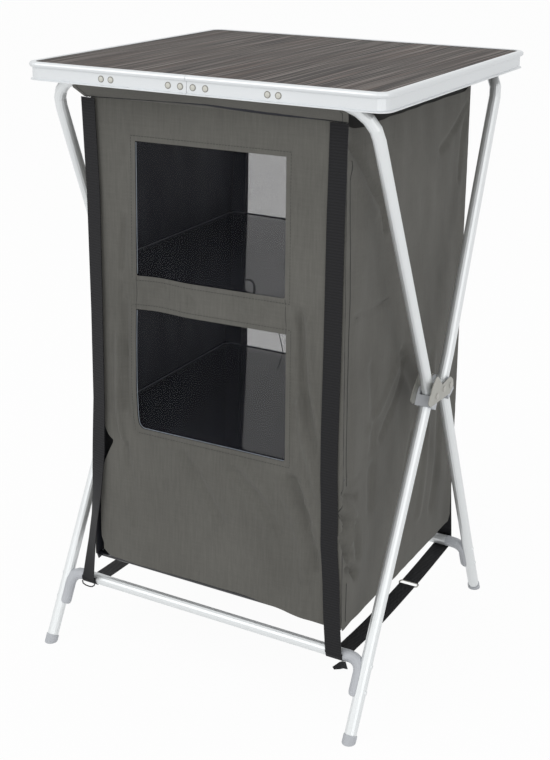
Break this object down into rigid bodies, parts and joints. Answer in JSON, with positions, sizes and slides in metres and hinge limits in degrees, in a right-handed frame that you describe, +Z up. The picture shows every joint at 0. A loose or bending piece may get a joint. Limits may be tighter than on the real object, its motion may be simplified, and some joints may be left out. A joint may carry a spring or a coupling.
{
  "type": "camping cupboard",
  "caption": "Folding camping cupboard: a table top on crossed tube legs with plate joints, and a hanging fabric cabinet with shelves, a windowed front flap and webbing straps.",
  "frame": {"origin": "on the floor, under the middle of the table top", "axes": "+Z up, +X to the right seen from the front, -Y towards the front, where the cabinet's door is"},
  "size_m": [0.6, 0.5902, 1],
  "materials": {
    "board": "printed wood grain, satin",
    "rim": "satin",
    "tube": "satin",
    "plastic": "satin moulded",
    "plate": "pressed, dull",
    "rivet": "bright",
    "cloth": "woven, matte",
    "window": "clear film",
    "mesh": "net",
    "shelf_core": "plain",
    "webbing": "ribbed webbing"
  },
  "bodies": {
    "side_hinges": {"left_outer_plate": "plate", "left_inner_plate": "plate", "right_outer_plate": "plate", "right_inner_plate": "plate", "front_left_pivot_pin": "rivet", "front_right_pivot_pin": "rivet", "rear_left_pivot_pin": "rivet", "rear_right_pivot_pin": "rivet", "left_spacer_rivet": "rivet", "right_spacer_rivet": "rivet"},
    "front_arms": {"front_upper_frame": "tube", "front_header": "cloth"},
    "rear_arms": {"rear_upper_frame": "tube", "rear_header": "cloth"},
    "front_legs": {"front_crossbar": "tube", "front_left_leg": "tube", "front_left_elbow": "plastic", "front_left_foot": "plastic", "front_left_knuckle": "plastic", "front_right_leg": "tube", "front_right_elbow": "plastic", "front_right_foot": "plastic", "front_right_knuckle": "plastic"},
    "rear_legs": {"rear_crossbar": "tube", "rear_left_leg": "tube", "rear_left_elbow": "plastic", "rear_left_foot": "plastic", "rear_left_knuckle": "plastic", "rear_right_leg": "tube", "rear_right_elbow": "plastic", "rear_right_foot": "plastic", "rear_right_knuckle": "plastic"},
    "tabletop": {"table_board": "board", "left_rim": "rim", "right_rim": "rim", "front_splice": "rim", "rear_splice": "rim", "front_left_clip": "plastic", "front_right_clip": "plastic", "rear_left_clip": "plastic", "rear_right_clip": "plastic"},
    "cabinet": {"left_wall": "cloth", "right_wall": "cloth", "back_wall": "cloth", "rear_mesh": "mesh", "cabinet_floor": "cloth", "cabinet_floor_board": "shelf_core", "lower_shelf": "cloth", "lower_shelf_board": "shelf_core", "upper_shelf": "cloth", "upper_shelf_board": "shelf_core", "front_left_strap": "webbing", "front_right_strap": "webbing", "rear_left_strap": "webbing", "rear_right_strap": "webbing", "left_slider": "rivet", "right_slider": "rivet"},
    "front_door": {"door": "cloth", "lower_window": "window", "upper_window": "window"}
  },
  "joints": [
    {"name": "front_frame_fold", "type": "hinge", "parent": "side_hinges", "child": "front_arms", "pos_m": [0, -0.03, 0.489], "axis": [-1, 0, 0], "range_deg": [0, 25.76], "deforming": ["left_wall", "right_wall", "back_wall", "rear_mesh", "front_left_strap", "front_right_strap", "rear_left_strap", "rear_right_strap", "cabinet_floor", "lower_shelf", "upper_shelf", "cabinet_floor_board", "lower_shelf_board", "upper_shelf_board"]},
    {"name": "rear_frame_fold", "type": "hinge", "parent": "side_hinges", "child": "rear_arms", "pos_m": [0, 0.03, 0.489], "axis": [1, 0, 0], "range_deg": [0, 25.76]},
    {"name": "front_legs_fold", "type": "hinge", "parent": "side_hinges", "child": "front_legs", "pos_m": [0, -0.03, 0.489], "axis": [1, 0, 0], "range_deg": [0, 27.37]},
    {"name": "rear_legs_fold", "type": "hinge", "parent": "side_hinges", "child": "rear_legs", "pos_m": [0, 0.03, 0.489], "axis": [-1, 0, 0], "range_deg": [0, 27.37]},
    {"name": "table_level", "type": "hinge", "parent": "front_arms", "child": "tabletop", "pos_m": [0, -0.266, 0.978], "axis": [1, 0, 0], "range_deg": [0, 25.76]},
    {"name": "cabinet_lift", "type": "slide", "parent": "side_hinges", "child": "cabinet", "axis": [0, 0, 1], "range_m": [0, 0.0542]},
    {"name": "door_lift", "type": "hinge", "parent": "cabinet", "child": "front_door", "pos_m": [0, -0.2455, 0.947], "axis": [-1, 0, 0], "range_deg": [0, 80]}
  ],
  "couplings": [
    {"joint": "rear_frame_fold", "follows": "front_frame_fold", "ratio": 1},
    {"joint": "front_legs_fold", "follows": "front_frame_fold", "ratio": 1.0619},
    {"joint": "rear_legs_fold", "follows": "front_frame_fold", "ratio": 1.0619},
    {"joint": "table_level", "follows": "front_frame_fold", "ratio": 1},
    {"joint": "cabinet_lift", "follows": "front_frame_fold", "m_per_rad": 0.12003}
  ]
}
